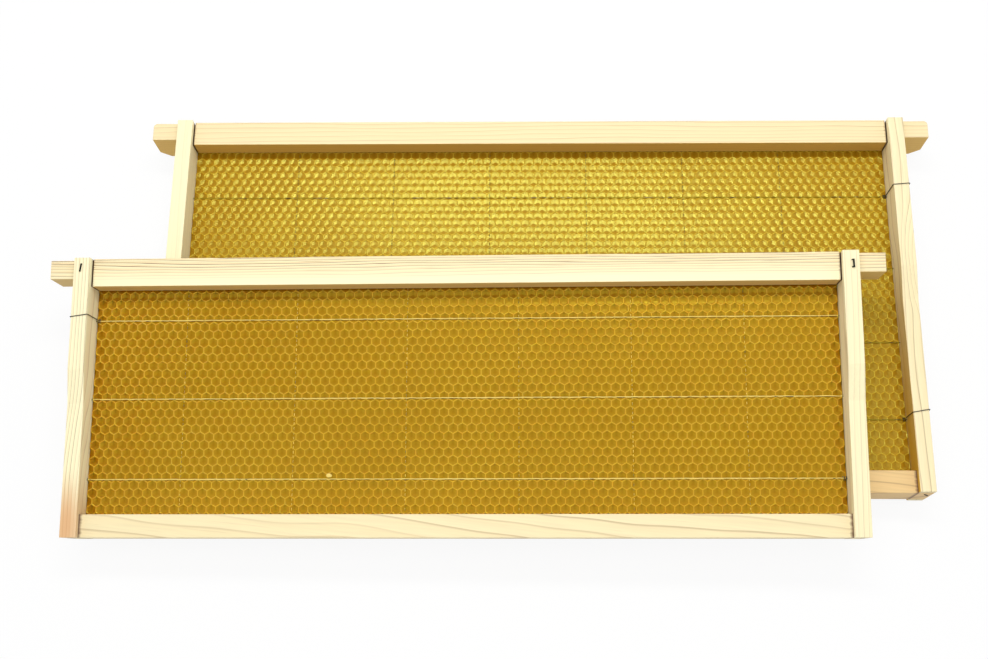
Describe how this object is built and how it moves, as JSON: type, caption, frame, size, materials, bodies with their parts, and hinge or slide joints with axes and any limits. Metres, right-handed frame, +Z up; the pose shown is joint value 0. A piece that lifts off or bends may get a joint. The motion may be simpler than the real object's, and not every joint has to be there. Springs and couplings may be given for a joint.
{
  "type": "pair of hive frames",
  "caption": "Deep and medium wooden beehive frames with wired, embossed beeswax sheets; the medium frame lies across the deep one and lifts off it.",
  "frame": {"origin": "on the table the pair lies on, under the middle of the pair's outline", "axes": "+X runs along the top bars to the right, +Y runs along the table from the bottom bars to the top bars, +Z is up from the table"},
  "size_m": [0.5261, 0.2624, 0.0757],
  "materials": {
    "pine": "bare planed pine, pale cream with fine brown grain",
    "beeswax": "translucent golden beeswax embossed with cell bases",
    "wire": "thin tinned steel frame wire",
    "staple": "dull steel flat-wire staple"
  },
  "bodies": {
    "deep_frame": {"deep_top_bar": "pine", "deep_left_side_bar": "pine", "deep_right_side_bar": "pine", "deep_bottom_bar": "pine", "deep_wax_sheet": "beeswax", "deep_upright_wires": "wire", "deep_frame_wire": "wire", "deep_bottom_staples": "staple"},
    "medium_frame": {"medium_top_bar": "pine", "medium_left_side_bar": "pine", "medium_right_side_bar": "pine", "medium_bottom_bar": "pine", "medium_wax_sheet": "beeswax", "medium_upright_wires": "wire", "medium_frame_wire": "wire", "medium_fork_staples": "staple", "medium_bottom_staples": "staple"}
  },
  "joints": [
    {"name": "medium_lift", "type": "slide", "parent": "deep_frame", "child": "medium_frame", "axis": [0, 0, 1], "range_m": [0, 0.15]}
  ]
}
